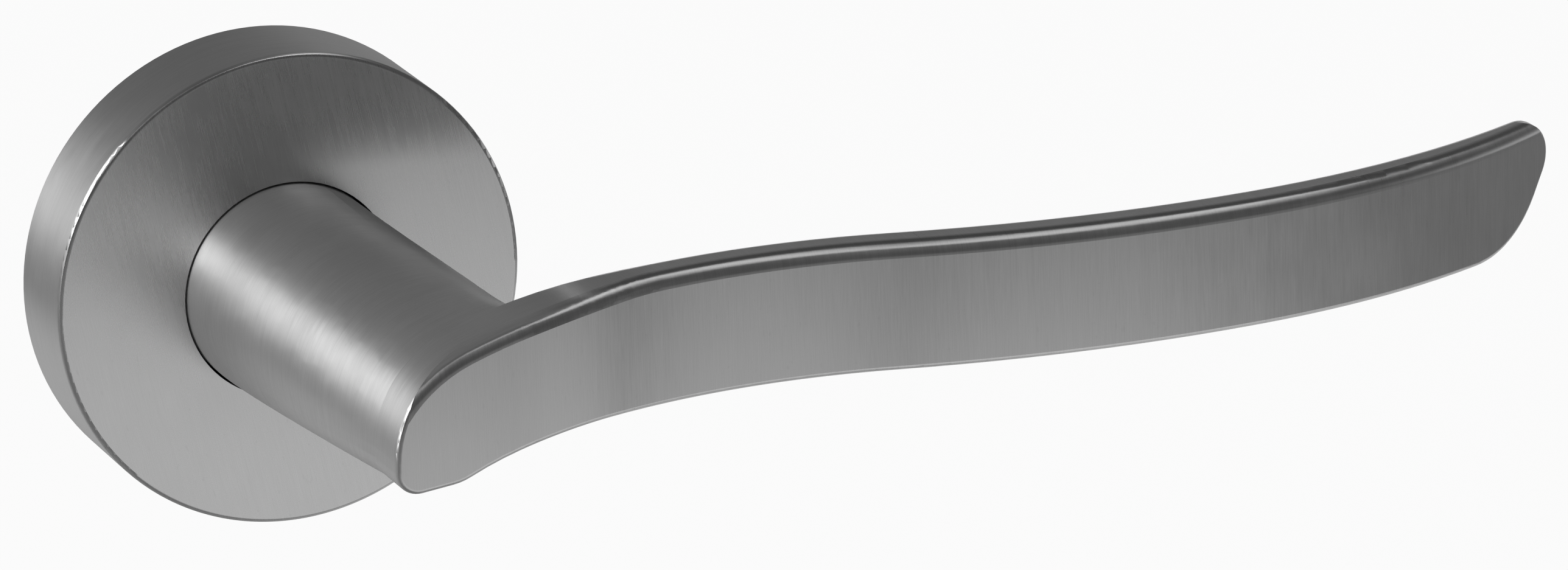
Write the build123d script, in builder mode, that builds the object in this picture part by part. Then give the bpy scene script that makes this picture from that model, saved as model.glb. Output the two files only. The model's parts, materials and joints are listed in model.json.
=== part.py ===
from build123d import *
from math import acos, asin, ceil, cos, degrees, radians, sin, sqrt
import os

# Lever handle on a round rose, for the room side of a door, in millimetres.
# The door face is the plane Y = 0, the room is on the -Y side and +Z is up.
# The spindle axis is the Y axis. "out" is a distance from the door face into the room.
# Angles are seen from the room, from +X towards +Z.

# Rose cover
rose_d = 50.0
rose_h = 11.0
cover_wall = 1.2
cover_edge_r = 0.5
cover_hole_gap = 0.25

# Base plate
gasket_t = 0.6
gasket_inner_r = 11.6
gasket_margin = 0.5
floor_t = 1.4
base_gap = 0.1
rim_t = 2.3
rim_top = 5.6
hub_wall = 1.9
recess_r = 9.8
recess_depth = 1.85
fixing_margin = 4.8
fixing_angle = 51.0
boss_r = 3.5

# Fixing lugs, screws and washers
lug_r = 3.75
lug_reach = 5.5
lug_neck_r = 2.95
screw_r = 2.0
screw_waist_r = 1.8
thread_start = 6.5
screw_reach = 20.0
screw_hole_gap = 0.15
head_r = 3.5
head_h = 2.4
head_room = 0.8
driver_af = 2.5
driver_depth = 1.5
washer_t = 0.9
washer_gap = 0.1
lug_hole_gap = 0.6

# Snap ring between base plate and cover
snap_t = 1.0
snap_depth = 0.6
snap_low = 3.3
snap_opening = 20.0

# Lever bearing
shank_r = 7.5
shank_back = -0.6
run_gap = 0.05
press_gap = 0.02
axial_gap = 0.05
shoulder_gap = 0.1
bush_wall = 1.45
bush_flange_r = 10.7
bush_flange_t = 0.8
neck_ring_w = 2.65
neck_ring_t = 0.4
neck_ring_gap = 0.3

# Retaining ring, conical play washer and thrust washer behind the bush
thrust_t = 0.5
thrust_r = 9.5
play_washer_t = 0.3
play_washer_cone = 0.3
play_washer_r = 9.3
ring_t = 1.0
ring_r = 9.3
ring_depth = 0.6
ring_opening = 40.0

# Drive collar and end stops
drive_r = 9.0
drive_flat = 7.7
collar_t = 2.25
collar_r = 10.6
ear_w = 5.0
ear_r = 18.0
ear_rest = 163.0
lever_travel = 45.0
tab_inner_r = 14.9
tab_outer_r = 17.6
tab_drop = 2.45
stop_pin_r = 1.5
stop_ring_r = 16.5
stop_gap = 0.27
pin_top_gap = 0.8

# Return spring
wire_d = 1.2
coil_r = 12.2
coil_turns_extra = 1
coil_foot_gap = 0.15
coil_head_gap = 0.77
bend_r = 2.0
leg_r = 17.8
leg_gap = 0.05
anchor_angle = 296.0
anchor_ring_r = 16.2
anchor_r = 1.5
anchor_h = 5.0

# Spindle and grub screw
spindle_w = 8.0
spindle_reach = 35.0
socket_gap = 0.05
socket_depth = 32.0
spindle_end_gap = 0.5
grub_out = 20.0
grub_r = 2.45
grub_len = 6.0
grub_af = 2.5
grub_socket_depth = 2.5

# Lever neck
neck_d = 22.4
neck_morph_start = 11.5
neck_morph_power = 1.3
neck_steps = 7
flare = 1.0
flare_start = 41.0
flare_power = 4

# Lever head and blade: the outline seen from the room
head_left = 7.4
head_side_low = -3.5
head_side_high = -2.45
head_arc_r = 11.5
head_arc_turn = 69.0
crown_r = 61.0
heel_r = 2.4
heel_slope = 7.5
heel_len = 3.3
kink_r = 6.0
underside_r = 37.0
underside_slope = 26.0
lever_reach = 130.0
tip_rake = 8.4
tip_bottom = -0.6
tip_top_r = 3.7
tip_bottom_r = 11.0

# Lever blade: the wave seen from above
head_out = 60.5
head_t = 7.2
blade_t = 4.6
edge_r = 1.6
rim_r = 0.5
run_out_r = 16.0
back_edge_r = 1.2
wave_trough = 35.6
wave_dip = 4.55
wave_in_r = 38.5
wave_out_r = 63.3
wave_rise = 10.8
wave_back_r = 132.0
wave_back_turn = 17.4
wave_tip_r = 87.5
wave_tip_turn = 33.0
tip_taper = 2.5
neck_join_x = 4.8

# Levels along the spindle axis, from the cover face back to the door
face_in = rose_h - cover_wall
neck_start = face_in - neck_ring_t
collar_top = neck_start - shoulder_gap
collar_bottom = collar_top - collar_t
flange_top = collar_bottom - axial_gap
hub_top = flange_top - bush_flange_t
head_seat = face_in - head_room - head_h
boss_top = head_seat - washer_t
floor_top = gasket_t + floor_t
recess_top = gasket_t + recess_depth
thrust_top = recess_top - axial_gap
play_top = thrust_top - thrust_t - axial_gap
ring_top = play_top - play_washer_t - play_washer_cone - axial_gap
pin_top = face_in - pin_top_gap
neck_end = head_out - head_t + back_edge_r

# Radii shared by mating pieces
rose_r = rose_d / 2
cover_in_r = rose_r - cover_wall
base_r = cover_in_r - base_gap
neck_r = neck_d / 2
cover_hole_r = neck_r + cover_hole_gap
bush_in_r = shank_r + run_gap
bush_out_r = bush_in_r + bush_wall
hub_bore_r = bush_out_r + press_gap
hub_r = hub_bore_r + hub_wall
groove_r = shank_r - ring_depth
snap_groove_r = base_r - snap_depth
screw_hole_r = screw_r + screw_hole_gap
lug_hole_r = lug_r + lug_hole_gap
wire_r = wire_d / 2
fixing_ring_r = cover_in_r - fixing_margin
stop_angle = degrees(asin((ear_w / 2 + stop_gap + stop_pin_r) / stop_ring_r))
rest_stop = ear_rest + stop_angle
travel_stop = ear_rest - lever_travel - stop_angle


def at(out):
    """Plane parallel to the door at this distance in front of it, facing the room."""
    return Plane.XZ.offset(out)


def polar(r, angle):
    """Point of a plane parallel to the door, from its radius and angle about the spindle."""
    return Vector(r * cos(radians(angle)), r * sin(radians(angle)))


def spot(along, across, angle):
    """Point at a distance along a ray from the spindle and at a distance across it."""
    return polar(along, angle) + polar(across, angle + 90)


def lift(point, out):
    """The same point as it stands in space at a distance from the door."""
    return Vector(point.X, -out, point.Y)


def turn_to(arc_start, heading, radius, x):
    """Degrees that an arc bending to the right turns before it reaches x."""
    return heading - degrees(asin(sin(radians(heading)) - (x - arc_start.X) / radius))


def biarc(start, start_heading, end, end_heading):
    """Two tangent arcs that join two points along given headings."""
    chord = end - start
    both = chord.dot(start_heading + end_heading)
    spread = 2 * (1 - start_heading.dot(end_heading))
    reach = (sqrt(both ** 2 + spread * chord.dot(chord)) - both) / spread
    first = start + start_heading * reach
    second = end - end_heading * reach
    middle = (first + second) / 2
    return [
        TangentArc(start, middle, tangent=start_heading),
        TangentArc(middle, end, tangent=second - first),
    ]


# Places of the two fixing screws, opposite each other
fixings = [polar(fixing_ring_r, fixing_angle + turn) for turn in (0, 180)]

# Outline of the lever head, from the left side round the crown and the heel.
# The crown and the underside are cut where the neck joins the back of the head.
left_side = Line((-head_left, head_side_low), (-head_left, head_side_high))
head_arc = JernArc(left_side @ 1, (0, 1), head_arc_r, -head_arc_turn)
crown_slope = 90 - head_arc_turn
crown_turn = turn_to(head_arc @ 1, crown_slope, crown_r, neck_join_x)
crown = JernArc(head_arc @ 1, head_arc % 1, crown_r, -crown_turn)
brow = JernArc(crown @ 1, crown % 1, crown_r, crown_turn - crown_slope)
top_edge = Line(brow @ 1, (lever_reach, (brow @ 1).Y))
heel_arc = JernArc(left_side @ 0, (0, -1), heel_r, 90 + heel_slope)
heel = Line(heel_arc @ 1, (heel_arc @ 1) + (heel_arc % 1) * heel_len)
kink = JernArc(heel @ 1, heel % 1, kink_r, underside_slope - heel_slope)
under_turn = turn_to(kink @ 1, underside_slope, underside_r, neck_join_x)
under = JernArc(kink @ 1, kink % 1, underside_r, -under_turn)
sweep_up = JernArc(under @ 1, under % 1, underside_r, under_turn - underside_slope)


def wave(depth, head_depth):
    """Plan curve of the blade at a depth behind its front, from the head to the thinner tip."""
    radii = wave_in_r + wave_out_r + depth
    turn = degrees(acos(1 - (wave_dip + depth - head_depth) / radii))
    head_end = wave_trough - radii * sin(radians(turn))
    lead = Line((-2 * head_left, head_depth - head_out), (head_end, head_depth - head_out))
    inward = JernArc(lead @ 1, (1, 0), wave_in_r, turn)
    outward = JernArc(inward @ 1, inward % 1, wave_out_r + depth, -turn - wave_rise)
    backward = JernArc(outward @ 1, outward % 1, wave_back_r - depth, wave_back_turn)
    tip_r = wave_tip_r + tip_taper * depth
    tip = JernArc(backward @ 1, backward % 1, tip_r, wave_tip_turn * wave_tip_r / tip_r)
    return lead, tip


# Corners of the round neck and of the head that it grows into, in step with each other
neck_angles = [208, 203, 105, 70, -60, -93, -107, -127, -152]
head_corners = [left_side @ 0, left_side @ 1, crown @ 0, crown @ 1]
head_corners += [under @ 1, kink @ 1, heel @ 1, heel_arc @ 1]
head_middles = [left_side @ 0.5, head_arc @ 0.5, crown @ 0.5, None]
head_middles += [under @ 0.5, kink @ 0.5, heel @ 0.5, heel_arc @ 0.5]


def neck_section(out):
    """Cross-section of the neck where it changes from a circle to the head's outline."""
    share = ((out - neck_morph_start) / (neck_end - neck_morph_start)) ** neck_morph_power
    flared = (max(out - flare_start, 0) / (neck_end - flare_start)) ** flare_power
    corners = []
    for angle, corner in zip(neck_angles, head_corners):
        corners.append(polar(neck_r, angle) * (1 - share) + corner * share)
    corners[3] -= (crown % 1) * flare * (share - flared)
    corners[4] -= (under % 1) * flare * (share - flared)
    top_heading = polar(1, neck_angles[3] - 90) * (1 - share) + (crown % 1) * share
    bottom_heading = polar(1, neck_angles[4] - 90) * (1 - share) - (under % 1) * share
    edges = []
    for i, start in enumerate(corners):
        end = corners[(i + 1) % len(corners)]
        if head_middles[i] is None:
            edges += biarc(start, top_heading.normalized(), end, bottom_heading.normalized())
            continue
        middle = polar(neck_r, (neck_angles[i] + neck_angles[i + 1]) / 2) * (1 - share)
        middle += head_middles[i] * share
        straight = abs((middle - start).cross(end - start).Z) < 1e-6
        edges.append(Line(start, end) if straight else ThreePointArc(start, middle, end))
    return at(out) * Face(Wire(edges))


morph_step = (neck_end - neck_morph_start) / neck_steps
neck_sections = [neck_section(neck_morph_start + i * morph_step) for i in range(neck_steps + 1)]

# Route of the return spring: two legs, two bends and a coil that winds up as the lever goes down
leg_across = ear_w / 2 + leg_gap + wire_r
anchor_spot = spot(anchor_ring_r, leg_across - wire_r - leg_gap - anchor_r, anchor_angle)
bend_along = sqrt((coil_r + bend_r) ** 2 - (leg_across - bend_r) ** 2)
bend_angle = degrees(asin((leg_across - bend_r) / (coil_r + bend_r)))
coil_from = anchor_angle + bend_angle
coil_sweep = coil_from - (ear_rest - bend_angle) + 360 * coil_turns_extra
coil_low = floor_top + coil_foot_gap + wire_r
coil_high = collar_bottom - coil_head_gap - wire_r
coil_parts = ceil(coil_sweep / 90)
coil_slope = (coil_high - coil_low) / (radians(coil_sweep) * coil_r)


def coil_point(i):
    """End of the i-th part of the coil."""
    share = i / coil_parts
    return lift(polar(coil_r, coil_from - share * coil_sweep), coil_low + share * (coil_high - coil_low))


def coil_heading(i):
    """Heading of the coil at the end of its i-th part, level at both of its ends."""
    heading = polar(1, coil_from - i / coil_parts * coil_sweep - 90)
    return lift(heading, 0 if i in (0, coil_parts) else coil_slope).normalized()


os.makedirs("parts", exist_ok=True)

# Rose cover: a pressed cup with a hole for the neck
with BuildPart() as rose_cover:
    with BuildSketch(at(0)):
        Circle(rose_r)
    extrude(amount=rose_h)
    fillet(rose_cover.faces().sort_by(Axis.Y)[0].edges(), cover_edge_r)
    with BuildSketch(at(0)):
        Circle(cover_in_r)
    extrude(amount=face_in, mode=Mode.SUBTRACT)
    with BuildSketch(at(0)):
        Circle(cover_hole_r)
    extrude(amount=rose_h, mode=Mode.SUBTRACT)
rose_cover.part.label = "rose_cover"
export_step(rose_cover.part, "parts/rose_cover.step")

# Base plate: floor, rim with a snap groove, hub for the bush and two bosses for the lugs
with BuildPart() as base_plate:
    with BuildSketch(at(gasket_t)):
        Circle(base_r)
    extrude(amount=floor_t)
    with BuildSketch(at(floor_top)):
        Circle(base_r)
        Circle(base_r - rim_t, mode=Mode.SUBTRACT)
    extrude(amount=rim_top - floor_top)
    with BuildSketch(at(floor_top)):
        Circle(hub_r)
    extrude(amount=hub_top - floor_top)
    with BuildSketch(at(floor_top)):
        with Locations(*fixings):
            Circle(boss_r)
    extrude(amount=boss_top - floor_top)
    with BuildSketch(at(snap_low)):
        Circle(base_r + base_gap)
        Circle(snap_groove_r, mode=Mode.SUBTRACT)
    extrude(amount=snap_t + 2 * shoulder_gap, mode=Mode.SUBTRACT)
    with BuildSketch(at(gasket_t)):
        Circle(hub_bore_r)
        with Locations(*fixings):
            Circle(lug_neck_r + press_gap)
        with Locations(polar(stop_ring_r, rest_stop), polar(stop_ring_r, travel_stop)):
            Circle(stop_pin_r + press_gap)
    extrude(amount=rose_h, mode=Mode.SUBTRACT)
    with BuildSketch(at(gasket_t)):
        Circle(recess_r)
    extrude(amount=recess_depth, mode=Mode.SUBTRACT)
    with BuildSketch(at(gasket_t)):
        with Locations(anchor_spot):
            Circle(anchor_r + press_gap)
    extrude(amount=floor_t, mode=Mode.SUBTRACT)
base_plate.part.label = "base_plate"
export_step(base_plate.part, "parts/base_plate.step")

# Gasket between the base plate and the door
with BuildPart() as backing_gasket:
    with BuildSketch(at(0)):
        Circle(base_r - gasket_margin)
        Circle(gasket_inner_r, mode=Mode.SUBTRACT)
        with Locations(*fixings):
            Circle(lug_hole_r, mode=Mode.SUBTRACT)
    extrude(amount=gasket_t)
backing_gasket.part.label = "backing_gasket"
export_step(backing_gasket.part, "parts/backing_gasket.step")

# Fixing lugs: sleeves that the screws run through, let into the door
with BuildPart() as fixing_lugs:
    with BuildSketch(at(-lug_reach)):
        with Locations(*fixings):
            Circle(lug_r)
    extrude(amount=lug_reach + gasket_t)
    with BuildSketch(at(gasket_t)):
        with Locations(*fixings):
            Circle(lug_neck_r)
    extrude(amount=boss_top - gasket_t)
    with BuildSketch(at(-lug_reach)):
        with Locations(*fixings):
            Circle(screw_hole_r)
    extrude(amount=lug_reach + boss_top, mode=Mode.SUBTRACT)
fixing_lugs.part.label = "fixing_lugs"
export_step(fixing_lugs.part, "parts/fixing_lugs.step")

# Lock washers under the screw heads
with BuildPart() as lock_washers:
    with BuildSketch(at(boss_top)):
        with Locations(*fixings):
            Circle(head_r)
            Circle(screw_r + washer_gap, mode=Mode.SUBTRACT)
    extrude(amount=washer_t)
lock_washers.part.label = "lock_washers"
export_step(lock_washers.part, "parts/lock_washers.step")

# Fixing screws: cheese heads with a hexagon socket, a waist in the lugs and a thread behind them
with BuildPart() as fixing_screws:
    with BuildSketch(at(-screw_reach)):
        with Locations(*fixings):
            Circle(screw_r)
    extrude(amount=screw_reach - thread_start)
    with BuildSketch(at(-thread_start)):
        with Locations(*fixings):
            Circle(screw_waist_r)
    extrude(amount=thread_start + head_seat)
    with BuildSketch(at(head_seat)):
        with Locations(*fixings):
            Circle(head_r)
    extrude(amount=head_h)
    with BuildSketch(at(head_seat + head_h)):
        with Locations(*fixings):
            RegularPolygon(driver_af / 2, 6, major_radius=False)
    extrude(amount=-driver_depth, mode=Mode.SUBTRACT)
fixing_screws.part.label = "fixing_screws"
export_step(fixing_screws.part, "parts/fixing_screws.step")

# Snap ring that grips the cover from inside
with BuildPart() as cover_snap_ring:
    with BuildSketch(at(snap_low + shoulder_gap)):
        Circle(cover_in_r - run_gap)
        Circle(snap_groove_r + run_gap, mode=Mode.SUBTRACT)
        with BuildLine():
            opening = [polar(rose_d, side * snap_opening / 2 - 90) for side in (-1, 1)]
            Polyline((0, 0), *opening, close=True)
        make_face(mode=Mode.SUBTRACT)
    extrude(amount=snap_t)
cover_snap_ring.part.label = "cover_snap_ring"
export_step(cover_snap_ring.part, "parts/cover_snap_ring.step")

# Flanged bush that the shank turns in
with BuildPart() as bearing_bush:
    with BuildSketch(at(recess_top)):
        Circle(bush_out_r)
    extrude(amount=hub_top - recess_top)
    with BuildSketch(at(hub_top)):
        Circle(bush_flange_r)
    extrude(amount=bush_flange_t)
    with BuildSketch(at(recess_top)):
        Circle(bush_in_r)
    extrude(amount=flange_top - recess_top, mode=Mode.SUBTRACT)
bearing_bush.part.label = "bearing_bush"
export_step(bearing_bush.part, "parts/bearing_bush.step")

# Ring that keeps the neck centred in the cover
with BuildPart() as neck_ring:
    with BuildSketch(at(neck_start)):
        Circle(neck_r + neck_ring_gap + neck_ring_w)
        Circle(neck_r + neck_ring_gap, mode=Mode.SUBTRACT)
    extrude(amount=neck_ring_t)
neck_ring.part.label = "neck_ring"
export_step(neck_ring.part, "parts/neck_ring.step")

# End stops of the lever's travel
with BuildPart() as stop_pins:
    with BuildSketch(at(gasket_t)):
        with Locations(polar(stop_ring_r, rest_stop), polar(stop_ring_r, travel_stop)):
            Circle(stop_pin_r)
    extrude(amount=pin_top - gasket_t)
stop_pins.part.label = "stop_pins"
export_step(stop_pins.part, "parts/stop_pins.step")

# Pin that holds the spring's fixed leg
with BuildPart() as spring_anchor:
    with BuildSketch(at(gasket_t)):
        with Locations(anchor_spot):
            Circle(anchor_r)
    extrude(amount=anchor_h)
spring_anchor.part.label = "spring_anchor"
export_step(spring_anchor.part, "parts/spring_anchor.step")

# Torsion return spring round the hub
with BuildPart() as return_spring:
    with BuildLine() as spring_path:
        fixed_leg = Line(
            lift(spot(leg_r, leg_across, anchor_angle), coil_low),
            lift(spot(bend_along, leg_across, anchor_angle), coil_low),
        )
        TangentArc(fixed_leg @ 1, coil_point(0), tangent=fixed_leg % 1)
        for i in range(coil_parts):
            biarc(coil_point(i), coil_heading(i), coil_point(i + 1), coil_heading(i + 1))
        leg_foot = lift(spot(bend_along, -leg_across, ear_rest), coil_high)
        TangentArc(coil_point(coil_parts), leg_foot, tangent=coil_heading(coil_parts))
        Line(leg_foot, lift(spot(leg_r, -leg_across, ear_rest), coil_high))
    with BuildSketch(Plane(origin=fixed_leg @ 0, z_dir=fixed_leg % 0)):
        Circle(wire_r)
    sweep()
return_spring.part.label = "return_spring"
export_step(return_spring.part, "parts/return_spring.step")

# Least gap between one turn of the spring and the next
spring_wire = spring_path.wire()
spring_points = [spring_wire @ (i / 300) for i in range(301)]
spring_step = spring_wire.length / 300
apart = ceil(4 * wire_d / spring_step)
spring_gap = min(
    (a - b).length - wire_d for i, a in enumerate(spring_points) for b in spring_points[i + apart :]
)
print(f"return_spring: {spring_wire.length:.1f} mm of wire, least gap to itself {spring_gap:.2f} mm")

# Front of the blade with its upper edge rounded, a rounding that runs out at the head and the tip
with BuildPart() as crest:
    with BuildSketch(Plane.XY.offset(-rose_d)):
        with BuildLine():
            front_lead, front_tip = wave(0, 0)
            Polyline(front_lead @ 0, ((front_lead @ 0).X, 0), ((front_tip @ 1).X, 0), front_tip @ 1)
        make_face()
    extrude(amount=2 * rose_d)
    with BuildSketch(at(0)):
        with BuildLine():
            add([crown, brow, top_edge])
            run_out = JernArc(crown @ 0, -(crown % 0), run_out_r, head_arc_turn)
            beyond = Line(top_edge @ 1, top_edge @ 1 + (rose_d, 0))
            Polyline(beyond @ 1, ((beyond @ 1).X, -rose_d), ((run_out @ 1).X, -rose_d), run_out @ 1)
        make_face()
    extrude(amount=2 * head_out, mode=Mode.INTERSECT)
    front = crest.faces().filter_by(lambda face: face.normal_at().Y < -0.8)
    fillet([edge for edge in front.edges() if edge.center().Z > 0], edge_r)

# Blade with its head: the wave seen from above, cut to the outline seen from the room
with BuildPart() as blade:
    with BuildSketch(Plane.XY.offset(-rose_d)):
        with BuildLine():
            front_lead, front_tip = wave(0, 0)
            back_lead, back_tip = wave(blade_t, head_t)
            Line(front_lead @ 0, back_lead @ 0)
            Line(front_tip @ 1, back_tip @ 1)
        make_face()
    extrude(amount=2 * rose_d)
    with BuildSketch(at(0)) as outline:
        with BuildLine():
            add([left_side, head_arc, crown, brow, top_edge, heel_arc, heel, kink, under, sweep_up])
            tip_edge = Line(top_edge @ 1, (lever_reach - tip_rake, tip_bottom))
            Line(tip_edge @ 1, sweep_up @ 1)
        make_face()
        fillet(outline.vertices().sort_by(Axis.X)[-1], tip_top_r)
        fillet(outline.vertices().sort_by_distance(tip_edge @ 1)[0], tip_bottom_r)
    extrude(amount=2 * head_out, mode=Mode.INTERSECT)
    front = blade.faces().filter_by(lambda face: face.normal_at().Y < -0.8)
    back = blade.faces().filter_by(lambda face: face.normal_at().Y > 0.8)
    front_seams = front.edges().filter_by(Axis.Z).sort_by(Axis.X)[1:]
    back_seams = back.edges().filter_by(Axis.Z).sort_by(Axis.X)[1:]
    fillet([edge for edge in front.edges() if edge not in front_seams], rim_r)
    fillet([edge for edge in back.edges() if edge not in back_seams], back_edge_r)
    add(crest.part, mode=Mode.INTERSECT)

# Lever: shank, neck and blade in one casting
with BuildPart() as lever_handle:
    with BuildSketch(at(neck_start)):
        Circle(neck_r)
    extrude(amount=neck_morph_start - neck_start)
    loft(sections=neck_sections)
    add(blade.part)
    with BuildSketch(at(shank_back)):
        Circle(shank_r)
    extrude(amount=neck_start - shank_back)
    with BuildSketch(at(collar_bottom)):
        Circle(drive_r)
        Rectangle(2 * drive_r, 2 * drive_flat, mode=Mode.INTERSECT)
    extrude(amount=neck_start - collar_bottom)
    with BuildSketch(at(ring_top - ring_t - axial_gap)):
        Circle(shank_r + run_gap)
        Circle(groove_r, mode=Mode.SUBTRACT)
    extrude(amount=ring_t + 2 * axial_gap, mode=Mode.SUBTRACT)
    with BuildSketch(at(shank_back)):
        Rectangle(spindle_w + 2 * socket_gap, spindle_w + 2 * socket_gap)
    extrude(amount=socket_depth - shank_back, mode=Mode.SUBTRACT)
    with BuildSketch(Plane.XY):
        with Locations((0, -grub_out)):
            Circle(grub_r + run_gap)
    extrude(amount=-neck_d, mode=Mode.SUBTRACT)
lever_handle.part.label = "lever_handle"
export_step(lever_handle.part, "parts/lever_handle.step")

# Drive collar with the ear that meets the stops and the tab that the spring pushes
with BuildPart() as drive_collar:
    with BuildSketch(at(collar_bottom)):
        Circle(collar_r)
        with Locations(polar(ear_r / 2, ear_rest)):
            Rectangle(ear_r, ear_w, rotation=ear_rest)
    extrude(amount=collar_t)
    with BuildSketch(at(collar_bottom)):
        Circle(drive_r + run_gap)
        Rectangle(2 * drive_r + ear_w, 2 * (drive_flat + run_gap), mode=Mode.INTERSECT)
    extrude(amount=collar_t, mode=Mode.SUBTRACT)
    with BuildSketch(at(collar_bottom - tab_drop)):
        with Locations(polar((tab_inner_r + tab_outer_r) / 2, ear_rest)):
            Rectangle(tab_outer_r - tab_inner_r, ear_w, rotation=ear_rest)
    extrude(amount=tab_drop)
drive_collar.part.label = "drive_collar"
export_step(drive_collar.part, "parts/drive_collar.step")

# Thrust washer, conical play washer and retaining ring behind the bush
with BuildPart() as thrust_washer:
    with BuildSketch(at(thrust_top - thrust_t)):
        Circle(thrust_r)
        Circle(shank_r + 2 * run_gap, mode=Mode.SUBTRACT)
    extrude(amount=thrust_t)
thrust_washer.part.label = "thrust_washer"
export_step(thrust_washer.part, "parts/thrust_washer.step")

with BuildPart() as play_washer:
    with BuildSketch(Plane.XY):
        with BuildLine():
            Polyline(
                (shank_r + 2 * run_gap, -play_top),
                (play_washer_r, play_washer_cone - play_top),
                (play_washer_r, play_washer_cone + play_washer_t - play_top),
                (shank_r + 2 * run_gap, play_washer_t - play_top),
                close=True,
            )
        make_face()
    revolve(axis=Axis.Y)
play_washer.part.label = "play_washer"
export_step(play_washer.part, "parts/play_washer.step")

with BuildPart() as retaining_ring:
    with BuildSketch(at(ring_top - ring_t)):
        Circle(ring_r)
        Circle(groove_r + run_gap, mode=Mode.SUBTRACT)
        with BuildLine():
            opening = [polar(rose_d, side * ring_opening / 2 - 90) for side in (-1, 1)]
            Polyline((0, 0), *opening, close=True)
        make_face(mode=Mode.SUBTRACT)
    extrude(amount=ring_t)
retaining_ring.part.label = "retaining_ring"
export_step(retaining_ring.part, "parts/retaining_ring.step")

# Square spindle that turns the latch
with BuildPart() as spindle:
    with BuildSketch(at(-spindle_reach)):
        Rectangle(spindle_w, spindle_w)
    extrude(amount=spindle_reach + socket_depth - spindle_end_gap)
spindle.part.label = "spindle"
export_step(spindle.part, "parts/spindle.step")

# Grub screw that clamps the lever to the spindle, from below
with BuildPart() as grub_screw:
    with BuildSketch(Plane.XY.offset(-spindle_w / 2)):
        with Locations((0, -grub_out)):
            Circle(grub_r)
    extrude(amount=-grub_len)
    with BuildSketch(Plane.XY.offset(-spindle_w / 2 - grub_len)):
        with Locations((0, -grub_out)):
            RegularPolygon(grub_af / 2, 6, major_radius=False)
    extrude(amount=grub_socket_depth, mode=Mode.SUBTRACT)
grub_screw.part.label = "grub_screw"
export_step(grub_screw.part, "parts/grub_screw.step")
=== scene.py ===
import json
from math import cos, radians, sin

import bpy
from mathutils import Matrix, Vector

# Lever handle on a round rose, seen from the room, a little from the left and from above.
# Metres, in the frame of the solids: the door face is Y = 0 and the room is on the -Y side.

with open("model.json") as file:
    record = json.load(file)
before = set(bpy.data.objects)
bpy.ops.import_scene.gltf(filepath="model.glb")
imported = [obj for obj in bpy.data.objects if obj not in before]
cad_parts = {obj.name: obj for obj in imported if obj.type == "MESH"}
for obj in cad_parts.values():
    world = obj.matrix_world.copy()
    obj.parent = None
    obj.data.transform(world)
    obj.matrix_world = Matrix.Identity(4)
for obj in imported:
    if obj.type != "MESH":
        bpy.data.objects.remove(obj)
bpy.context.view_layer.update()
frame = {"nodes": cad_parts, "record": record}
cad = frame["nodes"]
scene = bpy.context.scene


# Node trees -----------------------------------------------------------------------------------

class Look:
    """The node tree of a material or of the world, put together one node at a time."""

    def __init__(self, owner, shader="Principled BSDF", **sockets):
        owner.use_nodes = True
        self.owner = owner
        self.tree = owner.node_tree
        self.shader = self.tree.nodes[shader]
        self.give(**sockets)

    def set(self, node, socket, value):
        """Give a socket a value, or join it to another node's output."""
        if isinstance(socket, str) and socket not in node.inputs:
            socket = socket.replace("_", " ").title()
        target = node.inputs[socket]
        if isinstance(value, bpy.types.NodeSocket):
            self.tree.links.new(value, target)
        else:
            target.default_value = value

    def give(self, **sockets):
        """Set or join sockets of the surface's own shader."""
        for socket, value in sockets.items():
            self.set(self.shader, socket, value)

    def add(self, kind, output=0, settings=None, **sockets):
        """Add a node and return one of its outputs."""
        node = self.tree.nodes.new("ShaderNode" + kind)
        for key, value in (settings or {}).items():
            setattr(node, key, value)
        for socket, value in sockets.items():
            self.set(node, socket, value)
        return node.outputs[output]

    def math(self, operation, first, second=0.0):
        node = self.tree.nodes.new("ShaderNodeMath")
        node.operation = operation
        self.set(node, 0, first)
        self.set(node, 1, second)
        return node.outputs[0]

    def spread(self, value, low, high, to_low, to_high):
        """Map one range of numbers smoothly to another."""
        return self.add(
            "MapRange", settings={"interpolation_type": "SMOOTHSTEP"}, value=value,
            from_min=low, from_max=high, to_min=to_low, to_max=to_high,
        )

    def blend(self, share, first, second, vectors=False):
        """Mix two numbers, or two vectors."""
        node = self.tree.nodes.new("ShaderNodeMix")
        node.data_type = "VECTOR" if vectors else "FLOAT"
        start = 4 if vectors else 2
        for socket, value in ((0, share), (start, first), (start + 1, second)):
            self.set(node, socket, value)
        return node.outputs[1 if vectors else 0]

    def greys(self, value, dark, light, tint=(1.0, 1.0, 1.0)):
        """Colour from one shade of a tint to another."""
        node = self.tree.nodes.new("ShaderNodeValToRGB")
        self.set(node, 0, value)
        for stop, shade in zip(node.color_ramp.elements, (dark, light)):
            stop.color = (*[shade * part for part in tint], 1.0)
        return node.outputs[0]

    def noise(self, scale, lean=0.0, detail=3.0, offset=0.0):
        """Noise with a scale for each direction, turned by the lean about the Y axis."""
        turned = self.add(
            "VectorRotate", settings={"rotation_type": "Y_AXIS"},
            vector=self.add("TexCoord", "Object"), angle=lean,
        )
        stretched = self.add("Mapping", vector=turned, scale=scale, location=(offset,) * 3)
        return self.add("TexNoise", vector=stretched, scale=1.0, detail=detail, roughness=0.6)

    def grain(self, scale, detail=3.0, offset=0.0):
        """Noise with the same scale in all directions."""
        return self.noise((scale,) * 3, detail=detail, offset=offset)

    def bump(self, height, strength, depth):
        self.give(normal=self.add("Bump", height=height, strength=strength, distance=depth))


# Materials ------------------------------------------------------------------------------------

# Scales of the brush strokes, per metre: round the turned sides, and straight on the front
fine_round, fine_straight = (300, 9000, 300), (9000, 300, 260)
broad_round, broad_straight = (90, 1500, 90), (1500, 90, 60)
broad_share = 0.3
speck_scale = (2600, 2600, 900)

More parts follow.
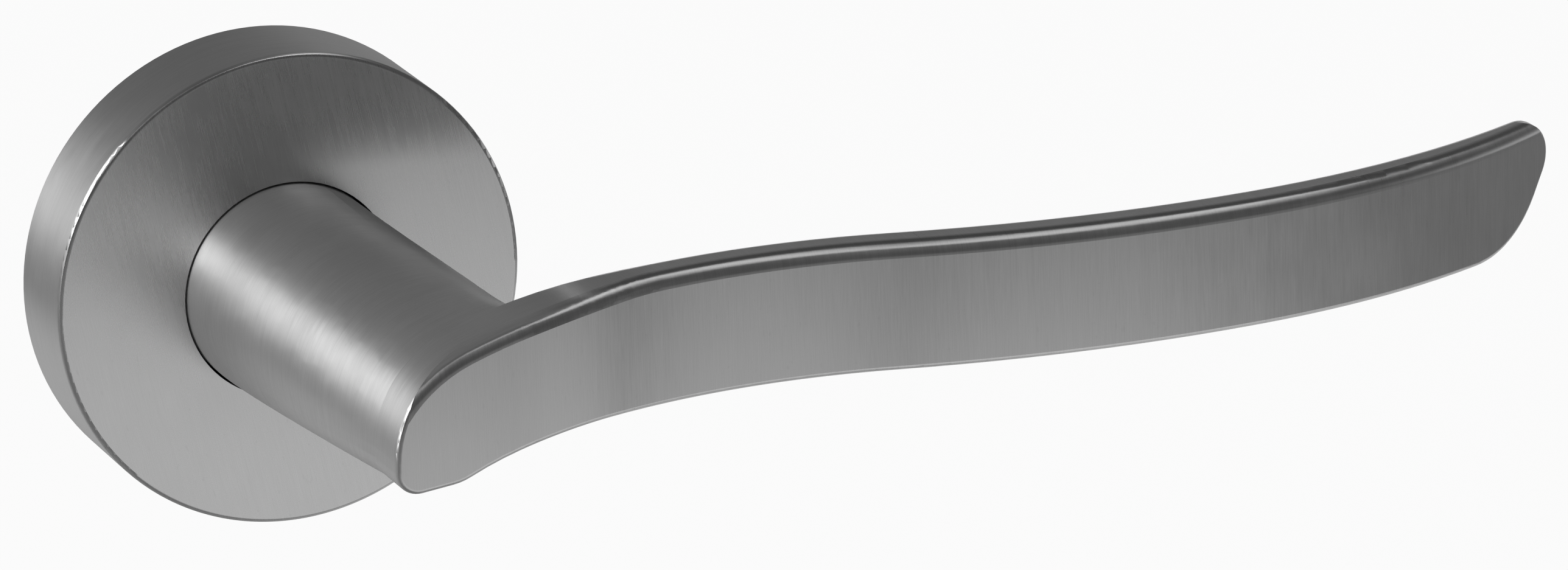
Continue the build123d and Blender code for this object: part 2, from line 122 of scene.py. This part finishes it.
# How far a normal points along Y on the turned sides and on the front
side_facing, front_facing = 0.55, 0.85

# Where along X the neck ends and the blade begins
neck_end, blade_start = 0.004, 0.02

# Tone and gloss of the satin steel
patch_tone, speck_tone = 0.5, 0.12
darkest, lightest = 0.91, 1.08
gloss_change, side_gloss_loss = 0.05, 0.12

fine_depth = 0.00002


def brushed(name, shade, lean, roughness, anisotropy, scatter, blade=False):
    """Satin steel: straight strokes across the front, strokes round the turned sides."""
    look = Look(bpy.data.materials.new(name), anisotropic=anisotropy)
    facing = look.add("SeparateXYZ", "Y", vector=look.add("TexCoord", "Normal"))
    front = look.spread(look.math("ABSOLUTE", facing), side_facing, front_facing, 0.0, 1.0)
    if blade:
        # The strokes of the blade go on over its edges, and end at the neck
        along = look.add("SeparateXYZ", "X", vector=look.add("TexCoord", "Object"))
        on_blade = look.spread(along, neck_end, blade_start, 0.0, 1.0)
        front = look.math("MAXIMUM", on_blade, front)

    # Strokes of the brush, fine ones and a few broad ones
    fine = look.blend(front, look.noise(fine_round), look.noise(fine_straight, lean))
    broad = look.blend(
        front, look.noise(broad_round), look.noise(broad_straight, lean, offset=3.0),
    )
    strokes = look.blend(broad_share, fine, broad)

    # Uneven pressure of the brush, and specks where it dug in
    patches = look.grain(70, offset=7.0)
    specks = look.spread(look.noise(speck_scale, lean, detail=1.0), 0.68, 0.8, 0.0, 1.0)

    uneven = look.math("MULTIPLY", look.math("SUBTRACT", patches, 0.5), patch_tone)
    shaded = look.math("ADD", strokes, uneven)
    shaded = look.math("SUBTRACT", shaded, look.math("MULTIPLY", specks, speck_tone))
    tone = look.spread(shaded, 0.2, 0.8, 0.0, 1.0)
    look.give(base_color=look.greys(tone, darkest * shade, lightest * shade))

    # The turned sides are rougher and scatter a part of the light
    worn = look.blend(0.5, strokes, patches)
    rough = look.spread(worn, 0.25, 0.75, roughness - gloss_change, roughness + gloss_change)
    rougher = look.spread(front, 0.0, 1.0, side_gloss_loss, 0.0)
    look.give(
        roughness=look.math("ADD", rough, rougher),
        metallic=look.spread(front, 0.0, 1.0, 1.0 - scatter, 1.0),
    )
    look.bump(strokes, 0.04, fine_depth)

    # The gloss spreads across the strokes
    across = look.blend(front, (0.0, 1.0, 0.0), (cos(lean), 0.0, sin(lean)), vectors=True)
    look.give(tangent=look.add(
        "VectorTransform", settings={"convert_from": "OBJECT", "convert_to": "WORLD"},
        vector=across,
    ))
    return look.owner


def plain_metal(name, shade, tint, roughness, grain, metallic=1.0, depth=fine_depth):
    """Bare or plated metal with a fine grain, darker in patches."""
    look = Look(bpy.data.materials.new(name), metallic=metallic)
    fine = look.grain(grain, detail=4.0)
    patches = look.grain(160, detail=4.0, offset=5.0)
    tone = look.spread(look.blend(0.5, fine, patches), 0.3, 0.7, 0.0, 1.0)
    look.give(
        base_color=look.greys(tone, 0.78 * shade, 1.12 * shade, tint),
        roughness=look.spread(patches, 0.3, 0.7, roughness - 0.08, roughness + 0.1),
    )
    look.bump(fine, 0.5, depth)
    return look.owner


def moulded(name, dark, light, tint, roughness, grain, depth, **sockets):
    """Plastic or rubber with a moulded skin."""
    look = Look(bpy.data.materials.new(name), **sockets)
    fine = look.grain(grain, detail=5.0)
    clouds = look.grain(220, offset=2.0)
    look.give(
        base_color=look.greys(look.blend(0.5, fine, clouds), dark, light, tint),
        roughness=look.spread(clouds, 0.3, 0.7, roughness - 0.05, roughness + 0.08),
    )
    look.bump(fine, 0.6, depth)
    return look.owner


finishes = {
    "satin_lever": (brushed, dict(
        shade=0.57, lean=radians(2), roughness=0.31, anisotropy=0.85, scatter=0.25, blade=True)),
    "satin_rose": (brushed, dict(
        shade=0.57, lean=radians(13), roughness=0.27, anisotropy=0.75, scatter=0.1)),
    "cast_zinc": (plain_metal, dict(
        shade=0.46, tint=(0.97, 0.99, 1.03), roughness=0.52, grain=5200, depth=0.00006)),
    "plated_steel": (plain_metal, dict(
        shade=0.62, tint=(1.0, 1.0, 0.97), roughness=0.3, grain=3600)),
    "spring_steel": (plain_metal, dict(
        shade=0.34, tint=(0.98, 0.98, 1.02), roughness=0.36, grain=4200)),
    "black_steel": (plain_metal, dict(
        shade=0.045, tint=(0.95, 0.98, 1.05), roughness=0.45, grain=4800, metallic=0.5)),
    "nylon": (moulded, dict(
        dark=0.66, light=0.84, tint=(1.0, 0.985, 0.93), roughness=0.48, grain=3200,
        depth=fine_depth, subsurface_weight=0.1)),
    "gasket_rubber": (moulded, dict(
        dark=0.025, light=0.075, tint=(1.0, 1.0, 1.0), roughness=0.86, grain=4400,
        depth=0.00008)),
}
looks = {slot: finish(slot, **values) for slot, (finish, values) in finishes.items()}
for part in frame["record"]["subparts"]:
    cad[part["node"]].data.materials.clear()
    cad[part["node"]].data.materials.append(looks[part["material_slot"]])


# Stage ----------------------------------------------------------------------------------------

floor_z = -0.12
floor_half = 4
corners = [(-1, -1), (1, -1), (1, 1), (-1, 1)]
floor_mesh = bpy.data.meshes.new("floor")
floor_mesh.from_pydata(
    [(floor_half * x, floor_half * y, floor_z) for x, y in corners], [], [(0, 1, 2, 3)],
)
floor = bpy.data.objects.new("floor", floor_mesh)
scene.collection.objects.link(floor)

# Painted pools of light on the floor: where metal and plastic mirror it, the floor glows in
# these pools and glows dimmer around them.
# Each painted pool of light: middle in X and Y, radius of the full light, radius of its end,
# level
painted_light_pools = [
    (0.136, -0.27, 0.147, 0.2, 1.0),  # in front of the handle
    (-0.1, 0.2, 0.05, 0.26, 0.77),    # behind the neck
    (0.2, 0.04, 0.1, 0.24, 0.8),      # below the blade
]
# Painted glow of the floor in reflections, outside the pools and inside them
unlit_shine, lit_shine = 0.23, 0.86
shine_share = 0.95

paper = Look(bpy.data.materials.new("paper"), roughness=0.9)
paper.give(base_color=paper.greys(paper.grain(40), 0.8, 0.84))
lit = 0.0
for x, y, full, end, level in painted_light_pools:
    apart = paper.add(
        "Mapping", vector=paper.add("TexCoord", "Object"),
        location=(-x, -y, 0.0), scale=(1.0, 1.0, 0.0),
    )
    reach = paper.add("VectorMath", "Value", {"operation": "LENGTH"}, vector=apart)
    lit = paper.math("MAXIMUM", lit, paper.spread(reach, full, end, level, 0.0))
# Painted glow: strength of the floor's emission, set by the pools of light
shine = paper.blend(lit, unlit_shine, lit_shine)

# White for the camera; where metal and plastic mirror it, it glows with the painted pools of
# light
rays = paper.tree.nodes.new("ShaderNodeLightPath").outputs
camera_ray = rays["Is Camera Ray"]
mirror_ray = paper.math("MAXIMUM", rays["Is Glossy Ray"], rays["Is Transmission Ray"])
seen = paper.math("MULTIPLY", paper.math("MAXIMUM", camera_ray, mirror_ray), shine_share)
white = paper.add(
    "Emission", color=(1, 1, 1, 1), strength=paper.math("MAXIMUM", camera_ray, shine),
)
mixed = paper.tree.nodes.new("ShaderNodeMixShader")
for socket, value in enumerate((seen, paper.shader.outputs[0], white)):
    paper.set(mixed, socket, value)
paper.set(paper.tree.nodes["Material Output"], "Surface", mixed.outputs[0])
floor_mesh.materials.append(paper.owner)

# Room: a pale wall low behind, a faint haze over it, dark above and in front
room = Look(bpy.data.worlds.new("studio"), "Background")
heading = room.add("SeparateXYZ", vector=room.add("TexCoord", "Generated")).node.outputs
back, up = heading["Y"], heading["Z"]
wall = room.math(
    "MULTIPLY", room.spread(up, 0.1, 0.2, 0.9, 0.0), room.spread(back, -0.5, 0.0, 0.0, 1.0),
)
haze = room.math(
    "MULTIPLY", room.spread(up, 0.3, 0.42, 0.0, 0.1), room.spread(back, 0.6, 0.8, 0.0, 1.0),
)
dim = room.spread(up, 0.0, 1.0, 0.1, 0.07)
glow = room.math("ADD", room.math("ADD", wall, haze), dim)
room.give(color=room.math("MAXIMUM", glow, room.add("LightPath", "Is Camera Ray")))
scene.world = room.owner


def softbox(name, place, target, width, height, power):
    """Soft rectangular lamp that faces a point."""
    light = bpy.data.lights.new(name, "AREA")
    light.shape = "RECTANGLE"
    light.size, light.size_y, light.energy = width, height, power
    lamp = bpy.data.objects.new(name, light)
    scene.collection.objects.link(lamp)
    lamp.location = place
    lamp.rotation_euler = (Vector(target) - Vector(place)).to_track_quat("-Z", "Y").to_euler()
    lamp.visible_camera = False


softbox("overhead", (0.37, -0.22, 0.75), (0.05, -0.05, 0), width=0.7, height=0.16, power=0.7)
softbox("key", (-0.95, -0.15, 0.4), (0, -0.04, 0), width=0.4, height=0.4, power=6.3)

# Camera at the photograph's place, in degrees down and to the right
camera_down, camera_right = 17.63, 23.25
camera = bpy.data.objects.new("camera", bpy.data.cameras.new("camera"))
scene.collection.objects.link(camera)
camera.data.sensor_width = 36.0
camera.data.lens = 209.6
camera.location = (-0.3042, -0.8465, 0.2826)
camera.rotation_euler = (radians(90 - camera_down), 0, radians(-camera_right))
scene.camera = camera

scene.view_settings.view_transform = "Standard"
